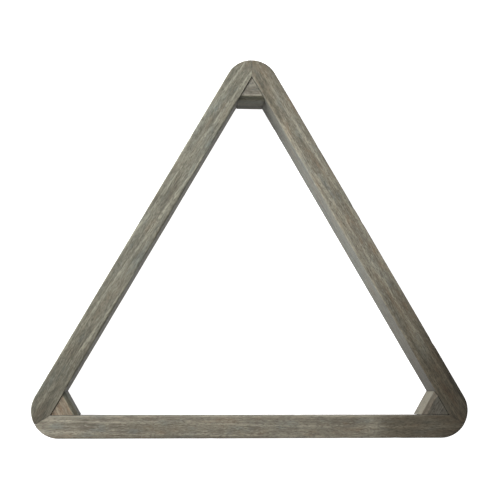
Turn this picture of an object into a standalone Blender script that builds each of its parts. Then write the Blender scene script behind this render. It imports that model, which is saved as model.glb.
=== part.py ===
"""Triangle rack for fifteen pool balls, lying flat as it is used.

Three wooden rails are mitred into an equilateral triangle with rounded outer corners. A small
three-sided block fills each inner corner, and panel pins through the rails hold the blocks.
+Z is up through the depth, +Y points to the apex, and the origin is under the middle of the
rack's bounding box. All sizes are in metres.
"""

import math

import bmesh
import bpy
from mathutils import Matrix, Vector

# Driving dimensions
BALL_DIAMETER = 0.05715
BALLS_PER_SIDE = 5
BALL_PLAY = 0.0024  # slack along one inner side once all the balls are in
RAIL_WIDTH = 0.019
RAIL_DEPTH = 0.038
CORNER_RADIUS = 0.0232
BLOCK_SETBACK = 0.0200  # from the inner corner to the block's face, along the bisector
PIN_LENGTH = 0.030
JOINT_GAP = 0.0003

# Smaller features
EDGE_EASE = 0.0015
EASE_STEPS = 3
ARC_STEPS = 9  # facets on a rail's half of a rounded corner
BLOCK_NOSE = 0.0012  # cut off the block's sharp corner, so that it seats against both rails
BLOCK_CHAMFER = 0.0035
BLOCK_EASE = 0.0005
BLOCK_RECESS = 0.0010  # the block lies this far below the rails' faces
PIN_RADIUS = 0.0007
PIN_HEAD_RADIUS = 0.0009
PIN_HEAD_LENGTH = 0.0010
PIN_POINT_LENGTH = 0.0022
PIN_SET = 0.0005  # the head stands this far inside the rail's outer face
PIN_FROM_CORNER = 0.013  # along the rail's inner face, from the inner corner
PIN_LEVELS = {"low": 0.010, "high": 0.024}
PIN_STAGGER = 0.004  # the two rails' pins cross in a block, so one rail's stand higher
PIN_SIDES = 16

# Worked out from the driving dimensions
THIRD_TURN = math.radians(120)
SHARP_ANGLE = math.radians(35)  # edges steeper than this stay crisp
CORNER_HALF_ANGLE = math.radians(30)
INNER_SIDE = (BALLS_PER_SIDE - 1 + math.sqrt(3)) * BALL_DIAMETER + BALL_PLAY
INNER_RADIUS = INNER_SIDE / (2 * math.sqrt(3))  # from the middle to a rail's inner face
OUTER_RADIUS = INNER_RADIUS + RAIL_WIDTH  # from the middle to a rail's outer face
CORNER_CENTRE = 2 * (OUTER_RADIUS - CORNER_RADIUS)  # from the middle to a corner arc's centre
RACK_LENGTH = OUTER_RADIUS + CORNER_CENTRE + CORNER_RADIUS  # base face to apex
MIDDLE = Vector((0.0, OUTER_RADIUS - RACK_LENGTH / 2, 0.0))

# A rail is modelled as the base rail and turned into place about the middle. Its right end
# and its left end each meet another rail at one of the three corners.
RAILS = {
    "base_rail": (0, {"right": "right", "left": "left"}),
    "right_rail": (1, {"right": "apex", "left": "right"}),
    "left_rail": (2, {"right": "left", "left": "apex"}),
}
CORNER_TURNS = {"right": -30, "apex": 90, "left": 210}  # degrees, seen from the middle


def clear_scene():
    """Remove every object that the scene starts with."""
    for item in list(bpy.data.objects):
        bpy.data.objects.remove(item, do_unlink=True)


def make_material(name, colour, roughness, metallic=0.0):
    """A plain Principled material."""
    material = bpy.data.materials.new(name)
    material.use_nodes = True
    shader = material.node_tree.nodes["Principled BSDF"]
    shader.inputs["Base Color"].default_value = (*colour, 1.0)
    shader.inputs["Roughness"].default_value = roughness
    shader.inputs["Metallic"].default_value = metallic
    return material


def make_object(name, bm, material=None):
    """Turn a bmesh into a named object in the scene."""
    bmesh.ops.recalc_face_normals(bm, faces=bm.faces)
    mesh = bpy.data.meshes.new(name)
    bm.to_mesh(mesh)
    bm.free()
    mesh.shade_smooth()
    mesh.set_sharp_from_angle(angle=SHARP_ANGLE)
    made = bpy.data.objects.new(name, mesh)
    bpy.context.collection.objects.link(made)
    if material:
        mesh.materials.append(material)
    return made


def extrude_outline(outline, bottom, top):
    """A closed prism over a plan outline, between two heights."""
    bm = bmesh.new()
    floor = bm.faces.new([bm.verts.new((x, y, bottom)) for x, y in outline])
    grown = bmesh.ops.extrude_face_region(bm, geom=[floor])["geom"]
    risen = [part for part in grown if isinstance(part, bmesh.types.BMVert)]
    bmesh.ops.translate(bm, verts=risen, vec=(0, 0, top - bottom))
    return bm


def bevel_edges(bm, edges, width, steps):
    """Round or chamfer some edges of a bmesh."""
    bmesh.ops.bevel(
        bm,
        geom=edges,
        offset=width,
        offset_type="OFFSET",
        segments=steps,
        profile=0.5,
        affect="EDGES",
    )


def turned(points, sides):
    """A closed body turned about Z, from (radius, height) points that start and end on the axis."""
    bm = bmesh.new()
    rings = []
    for radius, height in points:
        count = sides if radius > 0 else 1
        rings.append(
            [
                bm.verts.new(
                    (
                        radius * math.cos(2 * math.pi * i / count),
                        radius * math.sin(2 * math.pi * i / count),
                        height,
                    )
                )
                for i in range(count)
            ]
        )
    for lower, upper in zip(rings, rings[1:]):
        for i in range(sides):
            j = (i + 1) % sides
            corners = [lower[i % len(lower)], lower[j % len(lower)]]
            corners += [upper[j % len(upper)], upper[i % len(upper)]]
            bm.faces.new(list(dict.fromkeys(corners)))
    return bm


# Rails


def rail_end_arc():
    """The outer outline at a rail's right end, from the mitre to where the straight side starts."""
    centre = CORNER_CENTRE * Vector((math.cos(CORNER_HALF_ANGLE), -math.sin(CORNER_HALF_ANGLE)))
    shift = math.asin(JOINT_GAP / 2 / CORNER_RADIUS)
    first = -CORNER_HALF_ANGLE - shift
    last = -math.pi / 2
    points = []
    for step in range(ARC_STEPS + 1):
        angle = first + (last - first) * step / ARC_STEPS
        points.append(centre + CORNER_RADIUS * Vector((math.cos(angle), math.sin(angle))))
    return points


def rail_outline():
    """A rail's plan as the base rail, about the rack's middle: two inner corners and two arcs."""
    inner_x = INNER_SIDE / 2 - JOINT_GAP / 2 / math.sin(CORNER_HALF_ANGLE)
    arc = rail_end_arc()
    right = [(inner_x, -INNER_RADIUS)] + [(p.x, p.y) for p in arc]
    left = [(-x, y) for x, y in reversed(right)]
    return right + left


def is_rim_edge(edge):
    """Whether an edge runs along a rail's top or bottom rim and isn't a mitre's edge."""
    a, b = (vert.co for vert in edge.verts)
    if abs(a.z - b.z) > 1e-6:
        return False
    inner = -INNER_RADIUS - 1e-6
    crosses = (a.y > inner) != (b.y > inner)
    return not crosses


def make_rail(name, turns, material):
    """One rail, from mitre to mitre, with its four long edges eased."""
    bm = extrude_outline(rail_outline(), 0.0, RAIL_DEPTH)
    bevel_edges(bm, [edge for edge in bm.edges if is_rim_edge(edge)], EDGE_EASE, EASE_STEPS)
    rail = make_object(name, bm, material)
    rail.location = MIDDLE
    rail.rotation_euler.z = turns * THIRD_TURN
    return rail


# Corner blocks


def block_outline():
    """A block's plan, with the inner corner at the origin and the rack's middle along +X."""
    wedge_start = JOINT_GAP / math.sin(CORNER_HALF_ANGLE)
    slope = math.tan(CORNER_HALF_ANGLE)
    nose_x = wedge_start + BLOCK_NOSE
    nose_y = (nose_x - wedge_start) * slope
    face_y = (BLOCK_SETBACK - wedge_start) * slope
    return [(nose_x, -nose_y), (BLOCK_SETBACK, -face_y), (BLOCK_SETBACK, face_y), (nose_x, nose_y)]


def is_level(edge):
    """Whether an edge lies flat."""
    return abs(edge.verts[0].co.z - edge.verts[1].co.z) < 1e-6


def beside_rail(face):
    """Whether a face of the block stands against a rail."""
    return abs(face.normal.z) < 0.01 and abs(face.normal.y) > 0.1


def make_block(name, degrees, material):
    """One corner block: its face is chamfered at the top and the edges beside the rails are eased."""
    bm = extrude_outline(block_outline(), BLOCK_RECESS, RAIL_DEPTH - BLOCK_RECESS)
    front = BLOCK_SETBACK - 1e-6
    at_face = [edge for edge in bm.edges if all(vert.co.x > front for vert in edge.verts)]
    upper = [edge for edge in at_face if is_level(edge) and edge.verts[0].co.z > RAIL_DEPTH / 2]
    bevel_edges(bm, upper, BLOCK_CHAMFER, 1)
    bm.normal_update()
    eased = [
        edge
        for edge in bm.edges
        if any(beside_rail(face) for face in edge.link_faces)
        and any(vert.co.x > BLOCK_SETBACK / 2 for vert in edge.verts)
    ]
    bevel_edges(bm, eased, BLOCK_EASE, 2)
    block = make_object(name, bm, material)
    angle = math.radians(degrees)
    block.location = MIDDLE + 2 * INNER_RADIUS * Vector((math.cos(angle), math.sin(angle), 0))
    block.rotation_euler.z = angle + math.pi
    return block


# Panel pins


def pin_frame(turns, end, height):
    """Where a pin's head stands, with +Z along its shank into the block."""
    side = 1 if end == "right" else -1
    x = side * (INNER_SIDE / 2 - PIN_FROM_CORNER)
    local = Matrix.Translation((x, -OUTER_RADIUS + PIN_SET, height))
    into_block = Matrix.Rotation(-math.pi / 2, 4, "X")
    turn = Matrix.Rotation(turns * THIRD_TURN, 4, "Z")
    return Matrix.Translation(MIDDLE) @ turn @ local @ into_block


def make_pin(name, frame, material):
    """One panel pin: a flat head, a straight shank and a point."""
    profile = [
        (0, 0),
        (PIN_HEAD_RADIUS, 0),
        (PIN_HEAD_RADIUS, PIN_HEAD_LENGTH),
        (PIN_RADIUS, PIN_HEAD_LENGTH),
        (PIN_RADIUS, PIN_LENGTH - PIN_POINT_LENGTH),
        (0, PIN_LENGTH),
    ]
    pin = make_object(name, turned(profile, PIN_SIDES), material)
    pin.matrix_world = frame
    return pin


def make_pin_hole(name, frame):
    """The hole that a pin is driven into, as a cutter that starts outside the rail."""
    radius = PIN_HEAD_RADIUS + JOINT_GAP
    start = -PIN_SET - 0.002
    end = PIN_LENGTH + JOINT_GAP
    profile = [(0, start), (radius, start), (radius, end), (0, end)]
    cutter = make_object(name, turned(profile, PIN_SIDES))
    cutter.matrix_world = frame
    cutter.hide_render = True
    cutter.display_type = "WIRE"
    return cutter


def cut(target, cutter):
    """Take a cutter's shape out of a target."""
    modifier = target.modifiers.new(cutter.name, "BOOLEAN")
    modifier.operation = "DIFFERENCE"
    modifier.solver = "EXACT"
    modifier.object = cutter


def even_shading(target):
    """Keep the flat faces flat in smooth shading, also round the holes."""
    modifier = target.modifiers.new("even_shading", "WEIGHTED_NORMAL")
    modifier.mode = "FACE_AREA"
    modifier.weight = 100
    modifier.keep_sharp = True


def main():
    """Build the rack."""
    clear_scene()
    rail_wood = make_material("rail_wood", (0.215, 0.195, 0.155), 0.62)
    block_wood = make_material("block_wood", (0.235, 0.200, 0.155), 0.68)
    pin_steel = make_material("pin_steel", (0.36, 0.35, 0.33), 0.38, metallic=1.0)

    blocks = {
        corner: make_block(f"{corner}_block", degrees, block_wood)
        for corner, degrees in CORNER_TURNS.items()
    }
    for rail_name, (turns, corners) in RAILS.items():
        rail = make_rail(rail_name, turns, rail_wood)
        for end, corner in corners.items():
            for level, height in PIN_LEVELS.items():
                raised = height + (PIN_STAGGER if end == "right" else 0)
                frame = pin_frame(turns, end, raised)
                pin_name = f"{rail_name}_{corner}_pin_{level}"
                make_pin(pin_name, frame, pin_steel)
                hole = make_pin_hole(f"{pin_name}_hole", frame)
                cut(rail, hole)
                cut(blocks[corner], hole)
        even_shading(rail)
    for block in blocks.values():
        even_shading(block)


main()
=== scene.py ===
"""The looks of a wooden triangle rack: stained softwood rails, corner blocks and panel pins.

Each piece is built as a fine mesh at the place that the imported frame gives, with a small relief
that stays under the frame's faces, and gets a procedural finish. +Z is up, and +Y points to the
rack's apex.
"""

import logging
import math
import random
from abc import ABC, abstractmethod
from collections.abc import Callable, Iterable, Sequence
from dataclasses import dataclass, field
from enum import Enum

import bmesh
import bpy
from mathutils import Matrix, Vector, noise


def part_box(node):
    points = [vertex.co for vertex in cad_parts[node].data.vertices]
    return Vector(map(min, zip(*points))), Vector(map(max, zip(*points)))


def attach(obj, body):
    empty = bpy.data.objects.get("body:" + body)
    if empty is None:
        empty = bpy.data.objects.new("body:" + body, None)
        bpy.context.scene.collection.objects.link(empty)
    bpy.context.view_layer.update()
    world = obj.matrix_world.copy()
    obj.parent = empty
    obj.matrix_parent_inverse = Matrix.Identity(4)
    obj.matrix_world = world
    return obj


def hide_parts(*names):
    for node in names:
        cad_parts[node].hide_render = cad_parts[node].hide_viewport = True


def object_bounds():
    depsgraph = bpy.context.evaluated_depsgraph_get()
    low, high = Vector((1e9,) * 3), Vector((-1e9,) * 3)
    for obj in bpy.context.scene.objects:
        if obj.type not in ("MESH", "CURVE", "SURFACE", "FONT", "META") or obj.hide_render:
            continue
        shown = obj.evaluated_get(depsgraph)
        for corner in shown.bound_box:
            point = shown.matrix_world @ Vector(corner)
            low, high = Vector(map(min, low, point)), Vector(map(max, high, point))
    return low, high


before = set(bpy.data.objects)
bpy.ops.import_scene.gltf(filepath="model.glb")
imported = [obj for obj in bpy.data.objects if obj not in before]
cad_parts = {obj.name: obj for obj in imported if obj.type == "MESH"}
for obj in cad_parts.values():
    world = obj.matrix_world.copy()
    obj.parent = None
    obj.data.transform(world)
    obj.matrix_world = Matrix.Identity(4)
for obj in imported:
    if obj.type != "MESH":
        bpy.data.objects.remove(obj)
CAD_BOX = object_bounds()

LOG = logging.getLogger("triangle_rack")

MM = 0.001
HALF_CORNER = math.radians(30)  # half of the triangle's corner
THIRD_TURN = math.radians(120)
SHARP_ANGLE = math.radians(40)
CORNER_RADIUS = 0.0232  # of the rack's rounded outer corners
JOINT_GAP = 0.0003
GRAIN = "grain"  # attribute: the place in the board, with X along its fibres
END_GRAIN = "end_grain"  # attribute: how squarely the surface cuts the fibres
WEAR = "wear"  # attribute: how far the stain is rubbed off an edge
GRIME_AND_SHADE = "grime"  # attribute: stain gathered beside a joint, and painted shade along the rails' outer rims and at the foot of the blocks' upright faces
INSIDE = "inside"  # attribute: 1 on the faces that look at the rack's middle
CHAMFERED = "chamfered"  # attribute: 1 on a block's chamfer

Colour = tuple[float, float, float]
Span = tuple[float, float]


class MathOp(Enum):
    """The sums that a finish does on single values."""

    ADD = "ADD"
    SUBTRACT = "SUBTRACT"
    MULTIPLY = "MULTIPLY"
    DIVIDE = "DIVIDE"
    POWER = "POWER"
    ROOT = "SQRT"
    FRACTION = "FRACT"


class VectorOp(Enum):
    """The sums that a finish does on colours and places."""

    ADD = "ADD"
    SUBTRACT = "SUBTRACT"
    MULTIPLY = "MULTIPLY"
    DIVIDE = "DIVIDE"
    LENGTH = "LENGTH"


class Slot(Enum):
    """The record's material slots."""

    RAIL = "rail_wood"
    BLOCK = "block_wood"
    PIN = "pin_steel"


class Corner(Enum):
    """The rack's corners, each with its direction from the middle in degrees."""

    RIGHT = -30.0
    APEX = 90.0
    LEFT = 210.0

    @property
    def label(self) -> str:
        """The corner's name in the frame's node names."""
        return self.name.lower()

    @property
    def direction(self) -> float:
        """The corner's direction from the middle, in radians."""
        return math.radians(self.value)


# Materials


class Value:
    """A socket of a material's node tree that takes part in Python sums.

    Args:
        nodes: The tree that the socket belongs to.
        socket: The output socket that holds the value.
    """

    def __init__(self, nodes: "NodeTree", socket: bpy.types.NodeSocket) -> None:
        """Wrap one output socket."""
        self.nodes = nodes
        self.socket = socket

    def _math(self, op: MathOp, *terms: "Value | float") -> "Value":
        """Do one sum on values.

        Args:
            op: The sum.
            terms: Its inputs, in order.

        Returns:
            The result.
        """
        return self.nodes.add("ShaderNodeMath", {"operation": op.value}, dict(enumerate(terms)))

    def __add__(self, other: "Value | float") -> "Value":
        """Add."""
        return self._math(MathOp.ADD, self, other)

    __radd__ = __add__

    def __sub__(self, other: "Value | float") -> "Value":
        """Subtract."""
        return self._math(MathOp.SUBTRACT, self, other)

    def __rsub__(self, other: "Value | float") -> "Value":
        """Subtract this from a number."""
        return self._math(MathOp.SUBTRACT, other, self)

    def __mul__(self, other: "Value | float") -> "Value":
        """Multiply."""
        return self._math(MathOp.MULTIPLY, self, other)

    __rmul__ = __mul__

    def __truediv__(self, other: "Value | float") -> "Value":
        """Divide."""
        return self._math(MathOp.DIVIDE, self, other)

    def __pow__(self, power: float) -> "Value":
        """Raise to a power."""
        return self._math(MathOp.POWER, self, power)

    def root(self) -> "Value":
        """The square root."""
        return self._math(MathOp.ROOT, self)

    def fraction(self) -> "Value":
        """The part after the decimal point."""
        return self._math(MathOp.FRACTION, self)

    def ramp(self, low: float, high: float) -> "Value":
        """Fade from 0 to 1 as the value goes from one number to another.

        Args:
            low: Where the result is 0.
            high: Where the result is 1.

        Returns:
            The faded value.
        """
        settings = {"interpolation_type": "SMOOTHSTEP", "clamp": True}
        inputs = {"Value": self, "From Min": low, "From Max": high}
        return self.nodes.add("ShaderNodeMapRange", settings, inputs)


class NodeTree:
    """The nodes of one material.

    Args:
        name: The material's name.
    """

    def __init__(self, name: str) -> None:
        """Make a material with an empty tree, a Principled shader and an output."""
        self.material = bpy.data.materials.new(name)
        self.material.use_nodes = True
        self.tree = self.material.node_tree
        self.tree.nodes.clear()
        self.shader = self.tree.nodes.new("ShaderNodeBsdfPrincipled")
        output = self.tree.nodes.new("ShaderNodeOutputMaterial")
        self.tree.links.new(self.shader.outputs["BSDF"], output.inputs["Surface"])

    def feed(self, socket: bpy.types.NodeSocket, given: object) -> None:
        """Set a socket, or link it.

        Args:
            socket: The input socket.
            given: A Value to link, or a number, colour or vector to set.
        """
        if isinstance(given, Value):
            self.tree.links.new(given.socket, socket)
        elif socket.type == "RGBA" and len(given) == 3:
            socket.default_value = (*given, 1.0)
        else:
            socket.default_value = given

    def add(
        self,
        kind: str,
        settings: dict[str, object] | None = None,
        inputs: dict[str | int, object] | None = None,
        output: str | int = 0,
    ) -> Value:
        """Add a node.

        Args:
            kind: The node's type.
            settings: What is set on the node before its sockets are used.
            inputs: What goes into its sockets, by name or number.
            output: The output socket that is wanted.

        Returns:
            That output.
        """
        node = self.tree.nodes.new(kind)
        for name, setting in (settings or {}).items():
            setattr(node, name, setting)
        for key, given in (inputs or {}).items():
            self.feed(node.inputs[key], given)
        return Value(self, node.outputs[output])

    def attribute(self, name: str, output: str = "Fac") -> Value:
        """A mesh attribute, as a value or a vector."""
        return self.add("ShaderNodeAttribute", {"attribute_name": name}, output=output)

    def mix(self, first: Value | Colour, second: Value | Colour, share: Value | float) -> Value:
        """Mix two colours.

        Args:
            first: The colour at share 0.
            second: The colour at share 1.
            share: How much of the second colour there is.

        Returns:
            The mixed colour.
        """
        settings = {"data_type": "RGBA", "blend_type": "MIX"}
        inputs = {0: share, 6: first, 7: second}
        return self.add("ShaderNodeMix", settings, inputs, output=2)

    def shade(self, colour: Value, factor: Value) -> Value:
        """Lighten or darken a colour.

        Args:
            colour: The colour.
            factor: What it is multiplied by.

        Returns:
            The new colour.
        """
        return self.vector(VectorOp.MULTIPLY, colour, self.joined(factor, factor, factor))

    def vector(self, op: VectorOp, first: Value, second: Value | Colour) -> Value:
        """Do one sum on two vectors.

        Args:
            op: The sum.
            first: The first vector.
            second: The second vector.

        Returns:
            The resulting vector.
        """
        return self.add("ShaderNodeVectorMath", {"operation": op.value}, {0: first, 1: second})

    def length(self, vector: Value) -> Value:
        """A vector's length."""
        settings = {"operation": VectorOp.LENGTH.value}
        return self.add("ShaderNodeVectorMath", settings, {0: vector}, "Value")

    def parts(self, vector: Value) -> tuple[Value, Value, Value]:
        """Take a vector apart.

        Args:
            vector: The vector.

        Returns:
            Its three numbers.
        """
        node = self.tree.nodes.new("ShaderNodeSeparateXYZ")
        self.feed(node.inputs[0], vector)
        return tuple(Value(self, output) for output in node.outputs)

    def joined(self, x: Value | float, y: Value | float, z: Value | float) -> Value:
        """A vector of three numbers."""
        return self.add("ShaderNodeCombineXYZ", None, {0: x, 1: y, 2: z})

    def cloud(self, place: Value, size: Colour, detail: float, rough: float) -> Value:
        """A soft random pattern.

        Args:
            place: Where on the piece.
            size: The patches' size along each axis, in metres.
            detail: How many finer layers it has.
            rough: How strong those layers are.

        Returns:
            A value about 0.5.
        """
        scaled = self.vector(VectorOp.MULTIPLY, place, tuple(1.0 / step for step in size))
        inputs = {"Vector": scaled, "Scale": 1.0, "Detail": detail, "Roughness": rough}
        return self.add("ShaderNodeTexNoise", {"noise_dimensions": "3D"}, inputs)

    def bumped(self, height: Value, depth: float, strength: float) -> Value:
        """A normal that follows a height pattern.

        Args:
            height: The pattern, from 0 to 1.
            depth: How high 1 is, in metres.
            strength: How much of it shows.

        Returns:
            The normal.
        """
        inputs = {"Height": height, "Distance": depth, "Strength": strength}
        return self.add("ShaderNodeBump", None, inputs)

    def finish(self, colour: Value, roughness: Value, normal: Value, **constants: float) -> None:
        """Feed the shader.

        Args:
            colour: The surface colour.
            roughness: The surface roughness.
            normal: The surface normal.
            constants: Other numbers of the shader, with spaces written as underscores.
        """
        self.feed(self.shader.inputs["Base Color"], colour)
        self.feed(self.shader.inputs["Roughness"], roughness)
        self.feed(self.shader.inputs["Normal"], normal)
        for name, number in constants.items():
            self.shader.inputs[name.replace("_", " ")].default_value = number


@dataclass(frozen=True)
class Pattern:
    """A random pattern in a surface."""

    size: Colour  # its patches' size along the grain, across it and down, in metres
    layers: float = 2.0  # how many finer layers it has
    strength: float = 0.65  # how strong those layers are
    fade: Span = (0.0, 1.0)  # the values between which it fades in

    def on(self, nodes: NodeTree, place: Value) -> Value:
        """The plain pattern, a value about 0.5."""
        return nodes.cloud(place, self.size, self.layers, self.strength)

    def faded(self, nodes: NodeTree, place: Value) -> Value:
        """The pattern, faded in from 0 to 1."""
        return self.on(nodes, place).ramp(*self.fade)


@dataclass(frozen=True)
class StainMark:
    """A patch that lightens or darkens the tone, mostly uneven stain and on the apex block painted
    shade: where it lies in the board, its half sizes and its strength.
    """

    place: Colour
    size: Colour
    tone: float
    raggedness: float = 1.6  # how far the pattern pushes the outline in and out
    fade: Span = (0.45, 1.25)  # where it starts and stops fading, in half sizes

    def tone_on(self, nodes: NodeTree, spot: Value, ragged: Value) -> Value:
        """The factor that the patch puts on the colour.

        Args:
            nodes: The material's nodes.
            spot: The place in the board.
            ragged: A pattern about 0.5 that roughens the patch's outline.

        Returns:
            1 away from the patch.
        """
        centred = nodes.vector(VectorOp.SUBTRACT, spot, self.place)
        reach = nodes.length(nodes.vector(VectorOp.DIVIDE, centred, self.size))
        share = 1 - (reach + self.raggedness * (ragged - 0.5)).ramp(*self.fade)
        return 1 + share * (self.tone - 1)


@dataclass(frozen=True)
class StainedWood:
    """Softwood under a thin weathered-grey stain, with its grain along the piece's own X axis."""

    name: str
    seed: float
    tones: tuple[float, ...] = (1.0,)  # the lightness at even steps from -X to +X: stain, with painted shade that falls off towards the rack's lower right corner
    # the piece's colour tint; on the right block it is also painted shade of the rack's lower right
    # corner
    tint: Colour = (1.0, 1.0, 1.0)
    # the tint of the faces that look at the rack's middle: their colour, with painted light and
    # shade that sets each face's brightness
    inside_tint: Colour = (1.0, 1.0, 1.0)
    # painted shade on a block's chamfer
    chamfer_tint: Colour = (1.0, 1.0, 1.0)
    marks: tuple[StainMark, ...] = ()
    reach: float = 0.18  # the piece's half length
    dark: Colour = (0.090, 0.081, 0.064)
    middle: Colour = (0.170, 0.157, 0.124)
    pale: Colour = (0.310, 0.292, 0.236)
    warm: Colour = (0.176, 0.126, 0.082)
    cool: Colour = (0.148, 0.157, 0.144)
    bare: Colour = (0.360, 0.330, 0.262)
    streaks: Pattern = Pattern((0.034, 0.0014, 0.0014), 3.0, 0.62, (0.46, 0.80))
    lines: Pattern = Pattern((0.0085, 0.0005, 0.0005), 3.0, 0.68)
    pores: Pattern = Pattern((0.0030, 0.00075, 0.00075), fade=(0.49, 0.64))
    glints: Pattern = Pattern((0.0044, 0.00075, 0.0009), fade=(0.53, 0.70))
    patches: Pattern = Pattern((0.046, 0.010, 0.010), 4.0, fade=(0.28, 0.57))
    hue: Pattern = Pattern((0.026, 0.0075, 0.0075), 4.0)
    worn: Pattern = Pattern((0.016, 0.004, 0.004), 3.0, 0.5, (0.32, 0.58))
    sway: Pattern = Pattern((0.22, 0.05, 0.05), 1.0, 0.5)
    waver: Pattern = Pattern((0.045, 0.006, 0.006), 2.0, 0.5)
    ring_pitch: float = 0.0047
    ring_share: float = 0.55
    ring_rise: Span = (0.62, 0.86)  # where a ring's pale line begins, in ring pitches
    ring_fall: Span = (0.92, 1.0)  # where it ends
    ring_fade: Span = (0.34, 0.56)  # the streaks that let the rings through
    heart: Span = (-0.060, -0.045)  # where the tree's middle lies, across and down
    drift: float = 0.02  # how far the rings wander across, for each metre along
    streak_share: float = 0.36
    warm_fade: Span = (0.50, 0.68)
    warmth: float = 0.45
    cool_fade: Span = (0.32, 0.48)
    coolness: float = 0.65
    pore_share: float = 0.78
    glint_share: float = 0.54
    end_fade: Span = (0.25, 0.95)
    end_darkness: float = 0.45
    bareness: float = 0.40  # how far the worn edges go back to bare wood
    # how far the mask darkens: real grime at the joints, painted shade at the outer rims and the
    # blocks' feet
    grime_share: float = 0.6
    line_contrast: float = 1.52  # how strongly the finest lines of the grain show
    relief: float = 0.0004  # how high the grain stands, in metres

    def _rings(self, nodes: NodeTree, place: Value) -> Value:
        """The pale thin lines of late growth.

        Args:
            nodes: The material's nodes.
            place: Where in the wood.

        Returns:
            1 on a line and 0 between lines.
        """
        x, y, z = nodes.parts(place)
        moved = nodes.vector(VectorOp.ADD, place, (self.seed, 0.7 * self.seed, 0.0))
        sway = self.sway.on(nodes, moved) - 0.5
        waver = self.waver.on(nodes, moved) - 0.5
        across = y - self.heart[0] + self.drift * x + 0.012 * sway
        down = z - self.heart[1] - 0.6 * self.drift * x + 0.010 * sway
        radius = (across**2.0 + down**2.0).root() + 0.0009 * waver
        turn = (radius / self.ring_pitch).fraction()
        return turn.ramp(*self.ring_rise) * (1 - turn.ramp(*self.ring_fall))

    def _tone(self, x: Value) -> Value | float:
        """The lightness along the piece, from the stain and from painted falloff shade.

        Args:
            x: The place along the grain.

        Returns:
            The factor for the colour.
        """
        tone: Value | float = self.tones[0]
        stride = 2 * self.reach / max(1, len(self.tones) - 1)
        for step, (near, far) in enumerate(zip(self.tones, self.tones[1:])):
            start = step * stride - self.reach
            tone = tone + x.ramp(start, start + stride) * (far - near)
        return tone

    def material(self) -> bpy.types.Material:
        """Make the material.

        Returns:
            The new material.
        """
        nodes = NodeTree(self.name)
        spot = nodes.attribute(GRAIN, "Vector")
        shift = (0.37 * self.seed, 0.91 * self.seed, 0.53 * self.seed)
        place = nodes.vector(VectorOp.ADD, spot, shift)
        rings = self._rings(nodes, spot)
        streaks = self.streaks.on(nodes, place)
        lines = self.lines.on(nodes, place)
        pores = self.pores.faded(nodes, place)
        hue = self.hue.on(nodes, place)
        rubbed = nodes.attribute(WEAR) * self.worn.faded(nodes, place)
        end_share = nodes.attribute(END_GRAIN).ramp(*self.end_fade) * self.end_darkness
        ring_share = rings * streaks.ramp(*self.ring_fade) * self.ring_share

        colour = nodes.mix(self.dark, self.middle, self.patches.faded(nodes, place))
        for layer, share in (
            (self.pale, streaks.ramp(*self.streaks.fade) * self.streak_share),
            (self.warm, hue.ramp(*self.warm_fade) * self.warmth),
            (self.cool, (1 - hue.ramp(*self.cool_fade)) * self.coolness),
            (self.pale, ring_share),
            (self.dark, pores * self.pore_share),
            (self.pale, self.glints.faded(nodes, place) * self.glint_share),
            (self.dark, end_share),
            (self.bare, rubbed * self.bareness),
            # joint grime and painted shade darken the colour together
            (self.dark, nodes.attribute(GRIME_AND_SHADE) * self.grime_share),
        ):
            colour = nodes.mix(colour, layer, share)

        # the tone holds stain variation and painted shade that darkens towards the rack's lower
        # right corner
        tone = self._tone(nodes.parts(spot)[0])
        for mark in self.marks:
            tone = tone * mark.tone_on(nodes, spot, hue)
        if isinstance(tone, Value):  # darker tones, from thicker stain and from painted falloff shade, are also made browner
            tone = nodes.joined(tone**0.92, tone, tone**1.12)
            colour = nodes.vector(VectorOp.MULTIPLY, colour, tone)
        colour = nodes.shade(colour, 0.90 + self.line_contrast * (lines - 0.5))
        # the inside and chamfer tints paint light and shade onto those faces
        tint = nodes.mix(self.tint, self.inside_tint, nodes.attribute(INSIDE))
        tint = nodes.mix(tint, self.chamfer_tint, nodes.attribute(CHAMFERED))
        colour = nodes.vector(VectorOp.MULTIPLY, colour, tint)

        height = 0.45 * lines + 0.30 * streaks + 0.35 * rings - 0.35 * pores
        normal = nodes.bumped(height, self.relief, 0.6)
        roughness = 0.58 + 0.22 * lines - 0.10 * rubbed
        nodes.finish(colour, roughness, normal, Specular_IOR_Level=0.32)
        return nodes.material


@dataclass(frozen=True)
class DulledSteel:
    """Bright steel wire that has dulled, with hammer marks and a little brown at the edges."""

    name: str = "dulled_steel"
    bright: Colour = (0.42, 0.41, 0.39)
    dull: Colour = (0.16, 0.13, 0.10)
    tarnish: Pattern = Pattern((0.0011, 0.0011, 0.0016), 4.0, 0.6, (0.46, 0.66))
    scratches: Pattern = Pattern((0.0002, 0.0002, 0.0030), 3.0, 0.6)

    def material(self) -> bpy.types.Material:
        """Make the material.

        Returns:
            The new material.
        """
        nodes = NodeTree(self.name)
        place = nodes.add("ShaderNodeTexCoord", output="Object")
        tarnish = self.tarnish.on(nodes, place)
        colour = nodes.mix(self.bright, self.dull, tarnish.ramp(*self.tarnish.fade) * 0.8)
        roughness = 0.30 + 0.35 * tarnish
        normal = nodes.bumped(self.scratches.on(nodes, place), 0.00004, 0.4)
        nodes.finish(colour, roughness, normal, Metallic=1.0)
        return nodes.material


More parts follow.
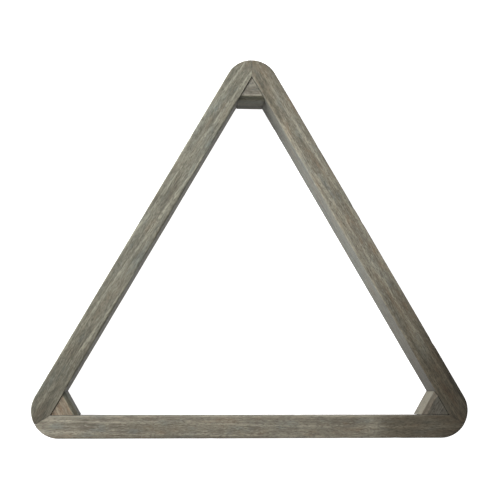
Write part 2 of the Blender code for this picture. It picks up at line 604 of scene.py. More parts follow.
@dataclass(frozen=True)
class StudioPaint:
    """The matt white of the studio floor, which is lit well past the object."""

    name: str = "studio_white"
    colour: Colour = (0.86, 0.86, 0.85)
    greyer: Colour = (0.84, 0.84, 0.84)
    mottle: Pattern = Pattern((0.02, 0.02, 0.02), 3.0, 0.5)
    glow: float = 0.97

    def material(self) -> bpy.types.Material:
        """Make the material.

        Returns:
            The new material.
        """
        nodes = NodeTree(self.name)
        place = nodes.add("ShaderNodeTexCoord", output="Object")
        mottle = self.mottle.on(nodes, place)
        normal = nodes.bumped(mottle, 0.0001, 0.1)
        colour = nodes.mix(self.colour, self.greyer, mottle)
        nodes.finish(colour, 0.8 + 0.1 * mottle, normal, Emission_Strength=self.glow)
        nodes.shader.inputs["Emission Color"].default_value = (1.0, 1.0, 1.0, 1.0)
        return nodes.material


# Meshes


@dataclass(frozen=True)
class Dent:
    """A shallow knock in a wooden face."""

    place: Vector
    radius: float
    depth: float

    def depth_at(self, point: Vector) -> float:
        """How deep the knock is at a point."""
        away = (point - self.place).length
        return self.depth * hump(away, self.radius) if away < 3 * self.radius else 0.0


@dataclass(frozen=True)
class Relief:
    """How far a planed and sanded wooden face dips under its nominal place, in metres.

    Lengths are along the grain, which is the piece's X axis.
    """

    seed: float
    floor: float = 0.00004
    waves: float = 0.00012
    grain: float = 0.00007
    dents: tuple[Dent, ...] = ()

    def depth_at(self, point: Vector) -> float:
        """The dip at a point.

        Args:
            point: Where on the piece, in its own axes.

        Returns:
            The dip in metres, never under the floor value.
        """
        moved = point + Vector((3.1, 1.7, 2.3)) * self.seed
        slow = noise.noise(Vector((moved.x / 0.024, moved.y / 0.011, moved.z / 0.011)))
        fine = noise.noise(Vector((moved.x / 0.020, moved.y / 0.0015, moved.z / 0.0015)))
        dip = self.floor + self.waves * (0.5 + 0.5 * slow) + self.grain * (0.5 + 0.5 * fine)
        return max(self.floor, dip) + sum(dent.depth_at(point) for dent in self.dents)


def new_piece(name: str, mesh: bmesh.types.BMesh) -> bpy.types.Object:
    """Turn a bmesh into a piece in the scene.

    Args:
        name: The piece's name.
        mesh: The bmesh, which is freed.

    Returns:
        The new object, shaded smooth up to its sharp edges.
    """
    data = bpy.data.meshes.new(name)
    mesh.to_mesh(data)
    mesh.free()
    data.shade_smooth()
    data.set_sharp_from_angle(angle=SHARP_ANGLE)
    piece = bpy.data.objects.new(name, data)
    bpy.context.scene.collection.objects.link(piece)
    return piece


def set_modifiers_in(piece: bpy.types.Object) -> None:
    """Replace a piece's mesh by what its modifiers make of it.

    Args:
        piece: The piece, which has no modifiers afterwards.
    """
    bpy.context.view_layer.update()
    evaluated = piece.evaluated_get(bpy.context.evaluated_depsgraph_get())
    made = bpy.data.meshes.new_from_object(evaluated)
    old = piece.data
    piece.modifiers.clear()
    piece.data = made
    made.name = piece.name
    bpy.data.meshes.remove(old)


def store_values(piece: bpy.types.Object, name: str, worked_out: Callable[[Vector], float]) -> None:
    """Write an attribute for each of a piece's vertices.

    Args:
        piece: The piece.
        name: The attribute's name.
        worked_out: Gives the value at a point, in the piece's own axes.
    """
    attribute = piece.data.attributes.new(name, "FLOAT", "POINT")
    values = [worked_out(vertex.co) for vertex in piece.data.vertices]
    attribute.data.foreach_set("value", values)


def store_grain(piece: bpy.types.Object) -> None:
    """Write down where each vertex is in the board, and how squarely it cuts the fibres.

    Args:
        piece: The piece, with its grain along its own X axis.
    """
    vertices = piece.data.vertices
    places = piece.data.attributes.new(GRAIN, "FLOAT_VECTOR", "POINT")
    places.data.foreach_set("vector", [number for vertex in vertices for number in vertex.co])
    ends = piece.data.attributes.new(END_GRAIN, "FLOAT", "POINT")
    ends.data.foreach_set("value", [abs(vertex.normal.x) for vertex in vertices])


def hump(distance: float, reach: float) -> float:
    """A smooth hump: 1 at distance 0, and nearly gone at twice the reach."""
    return math.exp(-((distance / reach) ** 2))


def fade_out(distance: float, start: float, width: float) -> float:
    """1 up to the start distance, then down to 0 over a width."""
    return max(0.0, 1.0 - max(0.0, distance - start) / width)


def settle(piece: bpy.types.Object, node: str) -> None:
    """Move a finished piece's mesh to its place in the frame, hang it under the root body and hide
    its node's frame part.

    Args:
        piece: The piece, whose own place is then the origin, like the frame's.
        node: The node that it stands for.
    """
    piece.data.transform(piece.matrix_world)
    piece.matrix_world = Matrix()
    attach(piece, "root")
    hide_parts(node)


def slice_up(body: bmesh.types.BMesh, pitch: float) -> None:
    """Cut a body's faces into cells, without changing its shape.

    Args:
        body: The body.
        pitch: The cells' size along each axis.
    """
    for axis in (Vector((1, 0, 0)), Vector((0, 1, 0)), Vector((0, 0, 1))):
        reaches = [vert.co.dot(axis) for vert in body.verts]
        low, high = min(reaches), max(reaches)
        cuts = round((high - low) / pitch)
        for step in range(1, cuts):
            bmesh.ops.bisect_plane(
                body,
                geom=body.verts[:] + body.edges[:] + body.faces[:],
                dist=pitch * 0.02,
                plane_co=axis * (low + (high - low) * step / cuts),
                plane_no=axis,
            )


def turned(profile: Iterable[tuple[float, float]], sides: int) -> bmesh.types.BMesh:
    """Turn a profile about Z.

    Args:
        profile: Its points as (radius, height), from the axis back to the axis.
        sides: How many sides the turned body has.

    Returns:
        The closed body.
    """
    body = bmesh.new()
    rings: list[list[bmesh.types.BMVert]] = []
    for radius, height in profile:
        count = sides if radius > 0 else 1
        angles = [2 * math.pi * step / count for step in range(count)]
        rings.append(
            [body.verts.new((radius * math.cos(a), radius * math.sin(a), height)) for a in angles]
        )
    for lower, upper in zip(rings, rings[1:]):
        for step in range(sides):
            following = (step + 1) % sides
            corners = [lower[step % len(lower)], lower[following % len(lower)]]
            corners += [upper[following % len(upper)], upper[step % len(upper)]]
            body.faces.new(list(dict.fromkeys(corners)))
    bmesh.ops.recalc_face_normals(body, faces=body.faces)
    return body


@dataclass
class RackPlan:
    """The rack's measures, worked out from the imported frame."""

    middle: Vector = field(default_factory=Vector)
    rail_width: float = 0.0
    depth: float = 0.0
    inner_radius: float = 0.0  # from the middle to a rail's inner face
    outer_radius: float = 0.0  # from the middle to a rail's outer face
    block_face: float = 0.0  # from the middle to a block's face

    @classmethod
    def from_frame(cls) -> "RackPlan":
        """Read the measures off the frame.

        Returns:
            The plan.
        """
        low, high = CAD_BOX
        rail_low, rail_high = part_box("base_rail")
        outer_radius = (high.y - low.y + CORNER_RADIUS) / 3
        middle = Vector((0.0, rail_low.y + outer_radius, low.z))
        width = rail_high.y - rail_low.y
        return cls(
            middle=middle,
            rail_width=width,
            depth=high.z - low.z,
            inner_radius=outer_radius - width,
            outer_radius=outer_radius,
            block_face=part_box("apex_block")[0].y - middle.y,
        )

    @property
    def corner_centre(self) -> float:
        """How far a rounded corner's centre is from the middle."""
        return 2 * (self.outer_radius - CORNER_RADIUS)

    @property
    def inner_corner(self) -> float:
        """How far an inner corner is from the middle."""
        return 2 * self.inner_radius


@dataclass
class PanelPin:
    """A panel pin that holds a corner block to a rail."""

    node: str
    inward: Vector
    finish: bpy.types.Material
    sides: int = 28
    head_radius: float = 0.0009
    head_length: float = 0.0010
    shank_radius: float = 0.0007
    point_length: float = 0.0022
    length: float = 0.030
    sunk: float = 0.0005
    hole_radius: float = 0.0012

    @property
    def placing(self) -> Matrix:
        """The pin's place, with its head at the origin and +Z along its shank."""
        low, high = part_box(self.node)
        head = (low + high) / 2 - self.inward * (self.length / 2)
        return Matrix.Translation(head) @ self.inward.to_track_quat("Z", "Y").to_matrix().to_4x4()

    def build(self) -> bpy.types.Object:
        """Make the pin: a head with an eased rim and a punched dimple, a shank and a point.

        Returns:
            The pin.
        """
        ease = 0.15 * self.head_radius
        dimple = 0.35 * self.head_radius
        profile = [
            (0.0, 0.25 * dimple),
            (dimple, 0.0),
            (self.head_radius - ease, 0.0),
            (self.head_radius - 0.3 * ease, 0.3 * ease),
            (self.head_radius, ease),
            (self.head_radius, self.head_length - ease),
            (self.head_radius - ease, self.head_length),
            (self.shank_radius, self.head_length + 0.5 * ease),
            (self.shank_radius, self.length - self.point_length),
            (0.35 * self.shank_radius, self.length - 0.3 * self.point_length),
            (0.0, self.length),
        ]
        pin = new_piece(f"pin_{self.node}", turned(profile, self.sides))
        pin.matrix_world = self.placing
        pin.data.materials.append(self.finish)
        settle(pin, self.node)
        return pin

    def hole(self) -> bpy.types.Object:
        """Make the cutter for the pin's hole.

        Returns:
            The cutter, which starts outside the rail.
        """
        start = -self.sunk - 0.002
        end = self.length + JOINT_GAP
        lip = self.hole_radius * 1.12  # the punch bruises the wood round the mouth
        profile = [
            (0.0, start),
            (lip, start),
            (lip, -self.sunk + 0.0001),
            (self.hole_radius, -self.sunk + 0.0004),
            (self.hole_radius, end),
            (0.0, end),
        ]
        cutter = new_piece(f"hole_{self.node}", turned(profile, self.sides))
        cutter.matrix_world = self.placing
        return cutter


def drill(piece: bpy.types.Object, pins: Sequence[PanelPin]) -> None:
    """Cut the holes for some pins in a piece for good.

    Args:
        piece: The piece, at its place.
        pins: The pins that go into it.
    """
    cutters = [pin.hole() for pin in pins]
    for cutter in cutters:
        modifier = piece.modifiers.new(cutter.name, "BOOLEAN")
        modifier.operation = "DIFFERENCE"
        modifier.solver = "EXACT"
        modifier.object = cutter
    set_modifiers_in(piece)
    for cutter in cutters:
        bpy.data.objects.remove(cutter, do_unlink=True)


@dataclass
class WoodenPiece(ABC):
    """A stained wooden piece, which knows how worn and how dark it is at each point."""

    node: str
    plan: RackPlan
    finish: StainedWood

    @abstractmethod
    def _wear_at(self, point: Vector) -> float:
        """How rubbed the stain is at a point."""

    @abstractmethod
    def _grime_at(self, point: Vector) -> float:
        """How much stain has gathered at a point, with painted shade."""

    @abstractmethod
    def _inside_at(self, point: Vector) -> float:
        """1 on the face that looks at the rack's middle, and 0 elsewhere."""

    def dress(self, piece: bpy.types.Object, slot: Slot) -> None:
        """Give the built piece its finish and tie it to the frame.

        Args:
            piece: The built piece, at its place.
            slot: Its material slot; not used.
        """
        store_grain(piece)
        store_values(piece, WEAR, self._wear_at)
        store_values(piece, GRIME_AND_SHADE, self._grime_at)
        store_values(piece, INSIDE, self._inside_at)
        piece.data.materials.append(self.finish.material())
        settle(piece, self.node)


class RailPlace(Enum):
    """The rails, each with its turns by a third from the base rail's place."""

    BASE = 0
    RIGHT = 1
    LEFT = 2

    @property
    def node(self) -> str:
        """The rail's node."""
        return f"{self.name.lower()}_rail"


@dataclass
class Rail(WoodenPiece):
    """One rail, mitred at both ends, with half of a rounded corner at each."""

    turns: int
    ease: float = 0.0015
    ease_beside_block: float = 0.0004
    block_reach: float = 0.022  # how far a corner block lies along the rail
    pitch_along: float = 0.0016
    pitch_across: float = 0.0009
    arc_steps: int = 18
    ease_steps: int = 5
    dent_count: int = 9
    worn_rims: tuple[Span, ...] = ((1.0, 0.0016), (0.55, 0.0014))  # inner, outer: share, reach
    mitre_grime: Span = (0.55, 0.0006)  # share, reach
    # painted shade in a band just inside the outer rims
    rim_grime: float = 0.10

    @property
    def placing(self) -> Matrix:
        """The rail's place: its own origin is the rack's middle."""
        turn = Matrix.Rotation(self.turns * THIRD_TURN, 4, "Z")
        return Matrix.Translation(self.plan.middle) @ turn

    @property
    def inward(self) -> Vector:
        """The direction from the rail to the rack's middle."""
        return (self.placing.to_3x3() @ Vector((0.0, 1.0, 0.0))).normalized()

    def _eases_at(self, x: float) -> Span:
        """The long edges' radii at a place along the rail.

        Args:
            x: The place along the rail.

        Returns:
            The inner and the outer edges' radius. Hand sanding has left both uneven, and the
            inner ones stay sharper beside the corner blocks.
        """
        inner = 1.0 + 0.28 * noise.noise(Vector((x / 0.035, self.finish.seed * 7.7, 0.5)))
        outer = 1.0 + 0.28 * noise.noise(Vector((x / 0.035, self.finish.seed * 3.1, 8.5)))
        clear = self.plan.inner_radius * math.sqrt(3) - self.block_reach - abs(x)
        share = min(1.0, max(0.0, 0.5 + clear / 0.004))
        share = share * share * (3 - 2 * share)
        beside_block = self.ease_beside_block / self.ease
        return self.ease * inner * (beside_block + (1 - beside_block) * share), self.ease * outer

    def _section(self, inner: float, outer: float) -> list[Span]:
        """The rail's cross-section.

        Args:
            inner: The radius of its inner long edges.
            outer: The radius of its outer long edges.

        Returns:
            Points as (distance from the inner face, height), going round once.
        """
        width, depth = self.plan.rail_width, self.plan.depth
        across = round((width - 2 * self.ease) / self.pitch_across)
        up = round((depth - 2 * self.ease) / (1.3 * self.pitch_across))
        centres = [
            ((inner, depth - inner), inner),
            ((width - outer, depth - outer), outer),
            ((width - outer, outer), outer),
            ((inner, inner), inner),
        ]
        arcs = []
        for quarter, ((u, z), ease) in enumerate(centres):
            steps = [quarter + step / self.ease_steps for step in range(self.ease_steps + 1)]
            angles = [math.radians(180 - 90 * turn) for turn in steps]
            arcs.append([(u + ease * math.cos(a), z + ease * math.sin(a)) for a in angles])
        points: list[Span] = []
        for arc, following, run in zip(arcs, arcs[1:] + arcs[:1], (across, up, across, up)):
            (u, z), (next_u, next_z) = arc[-1], following[0]
            shares = [step / run for step in range(1, run)]
            points += arc
            points += [(u + (next_u - u) * share, z + (next_z - z) * share) for share in shares]
        return points

    def _stations(self) -> list[tuple[Vector, Vector]]:
        """Where the section is set along the rail, from the right mitre to the left one.

        Returns:
            The section's inner and outer end in plan, for each place.
        """
        plan = self.plan
        centre = plan.corner_centre * Vector((math.cos(HALF_CORNER), -math.sin(HALF_CORNER)))
        overhang = centre.y + plan.inner_radius  # the arc's centre lies inside the triangle
        first = -HALF_CORNER - math.asin(JOINT_GAP / 2 / CORNER_RADIUS)
        right: list[tuple[Vector, Vector]] = []
        for step in range(self.arc_steps + 1):
            angle = first + (-math.pi / 2 - first) * step / self.arc_steps
            spoke = Vector((math.cos(angle), math.sin(angle)))
            right.append((centre - spoke * (overhang / spoke.y), centre + spoke * CORNER_RADIUS))
        runs = round(2 * centre.x / self.pitch_along)
        straight = [
            (Vector((x, -plan.inner_radius)), Vector((x, -plan.outer_radius)))
            for x in (centre.x * (1 - 2 * step / runs) for step in range(1, runs))
        ]
        left = [(Vector((-a.x, a.y)), Vector((-b.x, b.y))) for a, b in reversed(right)]
        return right + straight + left

    def _point(self, station: tuple[Vector, Vector], u: float, eases: Span) -> Vector:
        """Set one point of the section at a station.

        Args:
            station: The section's inner and outer end in plan.
            u: The point's distance from the inner face.
            eases: The inner and the outer edges' radius there.

        Returns:
            The point in plan.
        """
        inner, outer = station
        spoke = outer - inner
        length = spoke.length
        slant = length / -spoke.y if spoke.y else 1.0
        width = self.plan.rail_width
        inner_ease, outer_ease = eases
        if u <= inner_ease:
            reach = u * slant
        elif u >= width - outer_ease:
            reach = length - (width - u)
        else:
            share = (u - inner_ease) / (width - inner_ease - outer_ease)
            reach = inner_ease * slant + share * (length - outer_ease - inner_ease * slant)
        return inner + spoke * (reach / length)

    def _dents(self) -> tuple[Dent, ...]:
        """The knocks along the rail's edges.

        Returns:
            The dents, placed by the finish's seed.
        """
        plan, draw = self.plan, random.Random(int(self.finish.seed * 100))
        half = plan.inner_radius * math.sqrt(3) - 0.03
        dents = []
        for _ in range(self.dent_count):
            y = -draw.choice((plan.inner_radius, plan.outer_radius))
            z = draw.choice((0.0, plan.depth, plan.depth))
            place = Vector((draw.uniform(-half, half), y, z))
            dents.append(Dent(place, draw.uniform(0.0012, 0.0030), draw.uniform(0.0002, 0.0005)))
        return tuple(dents)

    def _loft(self) -> bmesh.types.BMesh:
        """Set the section at each station and join them up.

        Returns:
            The rail's closed mesh.
        """
        relief = Relief(self.finish.seed, dents=self._dents())
        half_width, half_depth = self.plan.rail_width / 2, self.plan.depth / 2
        body = bmesh.new()
        rings = []
        for station in self._stations():
            middle = (station[0] + station[1]) / 2
            eases = self._eases_at(middle.x)
            ring = []
            for u, z in self._section(*eases):
                plan_point = self._point(station, u, eases)
                point = Vector((plan_point.x, plan_point.y, z))
                toward = Vector((middle.x, middle.y, half_depth)) - point
                side_share = (abs(u - half_width) / half_width) ** 8
                face_share = (abs(z - half_depth) / half_depth) ** 8
                toward.xy *= side_share / max(toward.xy.length, 1e-6)
                toward.z = math.copysign(face_share, toward.z)
                ring.append(body.verts.new(point + toward.normalized() * relief.depth_at(point)))
            rings.append(ring)
        for near, far in zip(rings, rings[1:]):
            for step in range(len(near)):
                following = (step + 1) % len(near)
                body.faces.new((near[step], far[step], far[following], near[following]))
        body.faces.new(rings[0])
        body.faces.new(list(reversed(rings[-1])))
        bmesh.ops.recalc_face_normals(body, faces=body.faces)
        return body

    def _wear_at(self, point: Vector) -> float:
        """How rubbed the stain is, most along the inner rims.

        Args:
            point: Where on the rail, in its own axes.

        Returns:
            The wear, from 0 to 1.
        """
        above = min(abs(point.z), abs(point.z - self.plan.depth))
        radii = (self.plan.inner_radius, self.plan.outer_radius)
        return max(
            share * hump(math.hypot(point.y + radius, above), reach)
            for radius, (share, reach) in zip(radii, self.worn_rims)
        )

    def _grime_at(self, point: Vector) -> float:
        """Stain gathered along the mitres, and painted shade in a band along the outer rims.

        Args:
            point: Where on the rail, in its own axes.

        Returns:
            The darkening, from 0 to 1.
        """
        share, reach = self.mitre_grime
        mitre = abs(point.x) * math.sin(HALF_CORNER) + point.y * math.cos(HALF_CORNER)
        above = min(abs(point.z), abs(point.z - self.plan.depth))
        outside = abs(self.plan.outer_radius + point.y)
        # painted shade: a darker band just inside the outer rims
        rim = hump(outside - 0.0022, 0.0012) * hump(above, 0.002)
        return max(share * hump(mitre, reach), self.rim_grime * rim)

    def _inside_at(self, point: Vector) -> float:
        """1 on the face that looks at the rack's middle, and 0 elsewhere."""
        return fade_out(abs(point.y + self.plan.inner_radius), 0.0002, 0.0006)

    def build(self, pins: Sequence[PanelPin]) -> bpy.types.Object:
        """Make the rail, drill it and dress it.

        Args:
            pins: The pins that go through it.

        Returns:
            The rail.
        """
        rail = new_piece(f"wood_{self.node}", self._loft())
        rail.matrix_world = self.placing
        drill(rail, pins)
        self.dress(rail, Slot.RAIL)
        return rail


@dataclass
class CornerBlock(WoodenPiece):
    """A three-sided block that fills an inner corner.

    In its own axes the inner corner is at the origin, +Y points to the rack's middle, and the
    grain runs along X, across the block's face.
    """

    corner: Corner
    nose: float = 0.0012
    chamfer: float = 0.0035
    clearance: float = 0.0001  # to each rail
    ease: float = 0.00028
    rim_ease: float = 0.0003
    recess: float = 0.0010
    pitch: float = 0.0009
    worn_rims: Span = (0.6, 0.0009)  # share, reach
    seam_grime: Span = (0.2, 0.0005)  # share, reach
    foot_grime: Span = (0.9, 0.55)  # painted shade at the upright face's foot: share at the foot, and the part of the depth it reaches

    @property
    def placing(self) -> Matrix:
        """The block's place."""
        angle = self.corner.direction
        corner = self.plan.inner_corner * Vector((math.cos(angle), math.sin(angle), 0.0))
        turn = Matrix.Rotation(angle + math.pi / 2, 4, "Z")
        return Matrix.Translation(self.plan.middle + corner) @ turn

    @property
    def setback(self) -> float:
        """How far the face is from the inner corner."""
        return self.plan.inner_corner - self.plan.block_face

    def _prism(self) -> bmesh.types.BMesh:
        """Make the block's plain shape, with its rims cut and eased.

        Returns:
            The closed mesh.
        """
        start = self.clearance / math.sin(HALF_CORNER)
        slope = math.tan(HALF_CORNER)
        near, far = start + self.nose, self.setback
        near_x, far_x = self.nose * slope, (far - start) * slope
        outline = [(near_x, near), (far_x, far), (-far_x, far), (-near_x, near)]
        body = bmesh.new()
        floor = body.faces.new([body.verts.new((x, y, self.recess)) for x, y in outline])
        grown = bmesh.ops.extrude_face_region(body, geom=[floor])["geom"]
        risen = [part for part in grown if isinstance(part, bmesh.types.BMVert)]
        rise = self.plan.depth - 2 * self.recess
        bmesh.ops.translate(body, verts=risen, vec=(0.0, 0.0, rise))
        bmesh.ops.recalc_face_normals(body, faces=body.faces)
        front = far - 1e-6
        middle_height, half_way = self.plan.depth / 2, far / 2
        rims = [
            edge
            for edge in body.edges
            if all(vert.co.y > front and vert.co.z > middle_height for vert in edge.verts)
        ]
        self._bevel(body, rims, self.chamfer, 1)
        glued = [face for face in body.faces if abs(face.normal.x) > math.sin(HALF_CORNER)]
        beside = [
            edge
            for edge in body.edges
            if any(face in glued for face in edge.link_faces)
            and any(vert.co.y > half_way for vert in edge.verts)
        ]
        self._bevel(body, beside, self.ease, 2)
        across = [
            edge
            for edge in body.edges
            if abs(edge.verts[0].co.x - edge.verts[1].co.x) > half_way
            and min(vert.co.y for vert in edge.verts) > half_way
            and edge.calc_face_angle() > SHARP_ANGLE
        ]
        self._bevel(body, across, self.rim_ease, 2)
        return body

    @staticmethod
    def _bevel(body: bmesh.types.BMesh, edges: list, width: float, steps: int) -> None:
        """Chamfer or round some edges.

        Args:
            body: The body.
            edges: The edges.
            width: How far the cut reaches from each edge.
            steps: How many faces the cut has: 1 for a chamfer.
        """
        bmesh.ops.bevel(
            body,
            geom=edges,
            offset=width,
            offset_type="OFFSET",
            segments=steps,
            profile=0.5,
            affect="EDGES",
        )
        body.normal_update()

    def _roughen(self, block: bpy.types.Object) -> None:
        """Press a sawn and sanded relief into the block.

        Args:
            block: The finely divided block.
        """
        relief = Relief(self.finish.seed, waves=0.00008, grain=0.00009)
        normals = [vertex.normal.copy() for vertex in block.data.vertices]
        for vertex, normal in zip(block.data.vertices, normals):
            vertex.co -= normal * relief.depth_at(vertex.co)

    def _side_gap(self, point: Vector) -> float:
        """How far a point is from the nearer of the block's two glued sides."""
        off = point.y * math.tan(HALF_CORNER) - abs(point.x)
        return off * math.cos(HALF_CORNER) - self.clearance

    def _wear_at(self, point: Vector) -> float:
        """How rubbed the stain is: along the rims and the chamfer's two edges.

        Args:
            point: Where on the block, in its own axes.

        Returns:
            The wear, from 0 to 1.
        """
        below = abs(self.plan.depth - self.recess - point.z)
        above = abs(point.z - self.recess)
        behind = self.setback - point.y
        nearest = min(
            math.hypot(behind - self.chamfer, below),
            math.hypot(behind, below - self.chamfer),
            math.hypot(behind, above),
            math.hypot(self._side_gap(point), min(below, above)),
        )
        share, reach = self.worn_rims
        return share * hump(nearest, reach)

    def _grime_at(self, point: Vector) -> float:
        """Stain gathered against the rails, and painted shade, darker towards the face's foot.

        Args:
            point: Where on the block, in its own axes.

        Returns:
            The darkening, from 0 to 1.
        """
        share, reach = self.seam_grime
        above = min(abs(point.z - self.recess), abs(point.z - self.plan.depth + self.recess))
        seam = share * hump(self._side_gap(point), reach) * min(1.0, above / 0.001)
        # painted shade, darker towards the face's foot
        share, reach = self.foot_grime
        low = max(0.0, 1.0 - point.z / (reach * self.plan.depth))
        return max(seam, share * low * self._inside_at(point))

    def _inside_at(self, point: Vector) -> float:
        """1 on the block's upright face, and 0 elsewhere."""
        return fade_out(self.setback - point.y, 0.0003, 0.0004)

    def _chamfered_at(self, point: Vector) -> float:
        """Find the block's chamfer.

        Args:
            point: Where on the block, in its own axes.

        Returns:
            1 on the chamfer, and 0 elsewhere.
        """
        behind = self.setback - point.y
        raised = point.z - (self.plan.depth - self.recess - self.chamfer)
        if min(behind, self.chamfer - behind) <= -0.0003:
            return 0.0
        return fade_out(abs(behind - raised) / math.sqrt(2), 0.0003, 0.0004)

    def build(self, pins: Sequence[PanelPin]) -> bpy.types.Object:
        """Make the block, drill it and dress it.

        Args:
            pins: The pins that go into it.

        Returns:
            The block.
        """
        body = self._prism()
        slice_up(body, self.pitch)
        block = new_piece(f"wood_{self.node}", body)
        block.matrix_world = self.placing
        drill(block, pins)
        self._roughen(block)
        store_values(block, CHAMFERED, self._chamfered_at)
        self.dress(block, Slot.BLOCK)
        return block


# Studio


@dataclass
class SoftLight:
    """A square diffuser lamp that faces the rack, at an offset from what it faces."""

    name: str
    offset: tuple[float, float, float]
    side: float
    power: float

    def build(self, target: Vector) -> bpy.types.Object:
        """Hang the lamp.

        Args:
            target: The point that it faces.

        Returns:
            The lamp.
        """
        data = bpy.data.lights.new(self.name, "AREA")
        data.shape = "SQUARE"
        data.size = self.side
        data.energy = self.power
        lamp = bpy.data.objects.new(self.name, data)
        bpy.context.scene.collection.objects.link(lamp)
        offset = Vector(self.offset)
        lamp.location = target + offset
        lamp.rotation_euler = (-offset).to_track_quat("-Z", "Y").to_euler()
        return lamp


@dataclass
class Studio:
    """A pale floor, soft lamps, a white surround and the camera above the rack."""

    plan: RackPlan
    floor_side: float = 12.0
    surround: float = 0.30
    lamps: tuple[SoftLight, ...] = (
        SoftLight("key_lamp", (-0.48, 0.42, 0.42), 0.35, 8.0),
        SoftLight("side_lamp", (-1.10, -0.05, 0.16), 0.45, 8.0),
        SoftLight("fill_lamp", (-0.20, 0.20, 1.60), 1.20, 6.0),
    )
    sensor: float = 36.0
    lens: float = 86.8
    camera_from_middle: Vector = field(default_factory=lambda: Vector((-0.0709, -0.0737, 0.9998)))
    aim_from_middle: Vector = field(default_factory=lambda: Vector((-0.0017, 0.0418, 0.0)))

    @property
    def top(self) -> Vector:
        """The middle of the rack, level with its upper faces."""
        return self.plan.middle + Vector((0.0, 0.0, self.plan.depth))

    def build_floor(self) -> bpy.types.Object:
        """Lay the floor under the rack.

        Returns:
            The floor.
        """
        body = bmesh.new()
        bmesh.ops.create_grid(body, x_segments=8, y_segments=8, size=self.floor_side / 2)
        floor = new_piece("studio_floor", body)
        floor.location.z = CAD_BOX[0].z - 0.0002
        floor.data.materials.append(StudioPaint().material())
        floor.visible_diffuse = False  # the glow stays off the rack
        return floor

    def build_lamps(self) -> list[bpy.types.Object]:
        """Hang the lamps.

        Returns:
            The lamps.
        """
        return [lamp.build(self.top) for lamp in self.lamps]

    def build_surround(self) -> None:
        """Make the room white and even."""
        world = bpy.data.worlds.new("studio_surround")
        bpy.context.scene.world = world
        world.use_nodes = True
        background = world.node_tree.nodes["Background"]
        background.inputs["Color"].default_value = (1.0, 1.0, 1.0, 1.0)
        background.inputs["Strength"].default_value = self.surround

    def build_camera(self) -> bpy.types.Object:
        """Set the camera over the rack, upright along +Y.

        Returns:
            The camera.
        """
        data = bpy.data.cameras.new("camera")
        data.sensor_width = self.sensor
        data.lens = self.lens
        data.clip_start = 0.01
        camera = bpy.data.objects.new("camera", data)
        bpy.context.scene.collection.objects.link(camera)
        place = self.top + self.camera_from_middle
        back = (self.camera_from_middle - self.aim_from_middle).normalized()
        right = Vector((0.0, 1.0, 0.0)).cross(back).normalized()
        up = back.cross(right)
        turn = Matrix((right, up, back)).transposed()
        camera.matrix_world = Matrix.Translation(place) @ turn.to_4x4()
        bpy.context.scene.camera = camera
        return camera

    def build(self) -> None:
        """Set up the whole studio."""
        self.build_floor()
        self.build_lamps()
        self.build_surround()
        self.build_camera()
        bpy.context.scene.view_settings.view_transform = "Standard"


# The rack


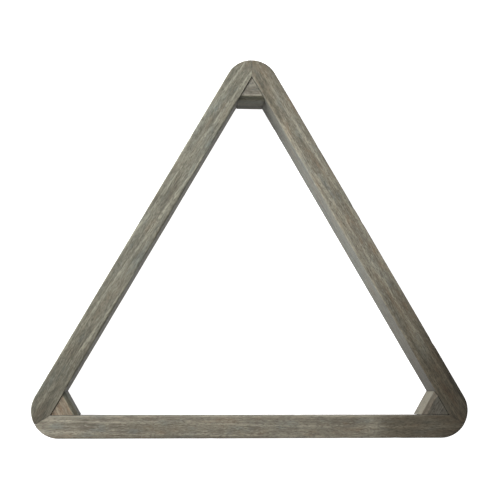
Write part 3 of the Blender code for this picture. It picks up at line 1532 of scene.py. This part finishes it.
@dataclass
class TriangleRack:
    """The whole rack: three rails, three corner blocks and the pins between them."""

    plan: RackPlan

    def rail_finishes(self) -> dict[RailPlace, StainedWood]:
        """Choose the rails' finishes: each was cut from its own board and stained by hand, and the
        base and right rails also carry painted shade towards the rack's lower right corner.

        Returns:
            The finish of each rail.
        """
        top = self.plan.depth
        across = -(self.plan.inner_radius + self.plan.outer_radius) / 2
        return {
            RailPlace.BASE: StainedWood(
                "base_rail_wood",
                1.3,
                # darker towards +X: stain, with painted falloff shade at the rack's lower right
                # corner
                (1.20, 1.12, 1.06, 1.09, 1.16, 1.10, 0.66, 0.38),
                tint=(1.0, 0.975, 0.92),
                inside_tint=(0.92, 0.94, 0.94),
                marks=(
                    StainMark((0.101, across - 0.001, top), (0.009, 0.008, 0.02), 1.26),
                    StainMark((0.128, across + 0.002, top), (0.018, 0.011, 0.02), 0.80),
                    StainMark((-0.085, across, top), (0.030, 0.004, 0.02), 0.90),
                    StainMark((-0.110, across - 0.0055, top), (0.050, 0.0016, 0.02), 0.95),
                ),
                drift=0.01,
                line_contrast=1.25,
            ),
            RailPlace.RIGHT: StainedWood(
                "right_rail_wood",
                2.6,
                # darker towards -X: stain, with painted falloff shade at the rack's lower right
                # corner
                (0.31, 0.39, 0.78, 1.18, 1.20, 1.21, 1.06, 0.76),
                tint=(1.0, 0.985, 0.93),
                inside_tint=(0.77, 0.81, 0.82),
                marks=(
                    StainMark((0.035, across - 0.004, top), (0.022, 0.003, 0.02), 0.80),
                    StainMark((0.085, across + 0.002, top), (0.018, 0.003, 0.02), 0.84),
                    StainMark((-0.100, across, top), (0.020, 0.004, 0.02), 1.22),
                    StainMark((0.140, across + 0.007, top), (0.024, 0.003, 0.01), 0.66),
                    StainMark((-0.145, across - 0.0085, top), (0.044, 0.003, 0.02), 0.58),
                ),
                drift=-0.02,
                warmth=0.65,
                line_contrast=1.60,
            ),
            RailPlace.LEFT: StainedWood(
                "left_rail_wood",
                4.1,
                (0.92, 1.00, 0.98, 0.90, 0.92, 0.84, 0.74, 0.56),
                tint=(0.97, 1.01, 0.98),
                inside_tint=(1.06, 1.08, 1.07),
                marks=(
                    StainMark((-0.150, across + 0.003, top), (0.010, 0.006, 0.02), 0.84),
                    StainMark((-0.060, across - 0.001, top), (0.024, 0.003, 0.02), 0.84),
                    StainMark((0.020, across + 0.004, top), (0.030, 0.003, 0.02), 0.98),
                    StainMark((0.120, across + 0.002, top), (0.030, 0.004, 0.02), 0.86),
                ),
                drift=0.045,
                warmth=0.30,
                ring_share=0.75,
                line_contrast=1.95,
            ),
        }

    def block_finishes(self) -> dict[Corner, StainedWood]:
        """Choose the blocks' finishes.

        Returns:
            The finish of each block.
        """
        size = {"reach": 0.012, "heart": (0.05, -0.03), "end_darkness": 0.1}
        return {
            Corner.APEX: StainedWood(
                "apex_block_wood",
                5.2,
                (0.95,),
                inside_tint=(0.86, 0.90, 0.82),
                chamfer_tint=(0.70, 0.74, 0.67),
                # painted shade: the lower part of the upright face is darker towards the foot
                marks=(StainMark((0.0, 0.0195, 0.002), (0.030, 0.003, 0.018), 0.40),),
                warmth=0.3,
                **size,
            ),
            Corner.LEFT: StainedWood(
                "left_block_wood",
                6.4,
                (1.0,),
                (1.12, 1.00, 0.90),
                inside_tint=(0.76, 0.80, 0.74),
                chamfer_tint=(0.80, 0.82, 0.74),
                warmth=0.8,
                **size,
            ),
            Corner.RIGHT: StainedWood(
                "right_block_wood",
                7.9,
                # darker tone and grey tint: painted shade of the rack's lower right corner; the
                # brighter inside tint is painted light on its upright face
                (0.84,),
                (0.60, 0.60, 0.60),
                inside_tint=(1.12, 1.13, 1.08),
                chamfer_tint=(0.54, 0.50, 0.45),
                marks=(StainMark((-0.005, 0.0195, 0.0340), (0.010, 0.002, 0.0045), 0.70),),
                warmth=0.3,
                **size,
            ),
        }

    def pins_of(self, rails: dict[str, Rail]) -> list[PanelPin]:
        """List the pins.

        Args:
            rails: The rails by node name.

        Returns:
            One pin for each of the frame's pin nodes.
        """
        steel = DulledSteel().material()
        pins = []
        for node in sorted(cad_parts):
            if "_pin_" in node:
                rail = node.split("_pin_")[0].rsplit("_", 1)[0]
                pins.append(PanelPin(node, rails[rail].inward, steel))
        return pins

    def build(self) -> None:
        """Build every piece and report it."""
        rail_finishes = self.rail_finishes()
        rails = {
            place.node: Rail(place.node, self.plan, rail_finishes[place], place.value)
            for place in RailPlace
        }
        pins = self.pins_of(rails)
        for node, rail in rails.items():
            report(rail.build([pin for pin in pins if pin.node.startswith(node)]))
        block_finishes = self.block_finishes()
        for corner in Corner:
            block = CornerBlock(f"{corner.label}_block", self.plan, block_finishes[corner], corner)
            report(block.build([pin for pin in pins if f"_{corner.label}_pin_" in pin.node]))
        for pin in pins:
            report(pin.build())


def report(piece: bpy.types.Object) -> None:
    """Say in the log what a piece measures."""
    sides = " x ".join(f"{side / MM:.1f}" for side in piece.dimensions)
    LOG.info("%s: %d faces, %s mm", piece.name, len(piece.data.polygons), sides)


def main() -> None:
    """Build the rack and the studio."""
    logging.basicConfig(level=logging.INFO, format="%(name)s: %(message)s")
    plan = RackPlan.from_frame()
    TriangleRack(plan).build()
    Studio(plan).build()


if __name__ == "__main__":
    main()
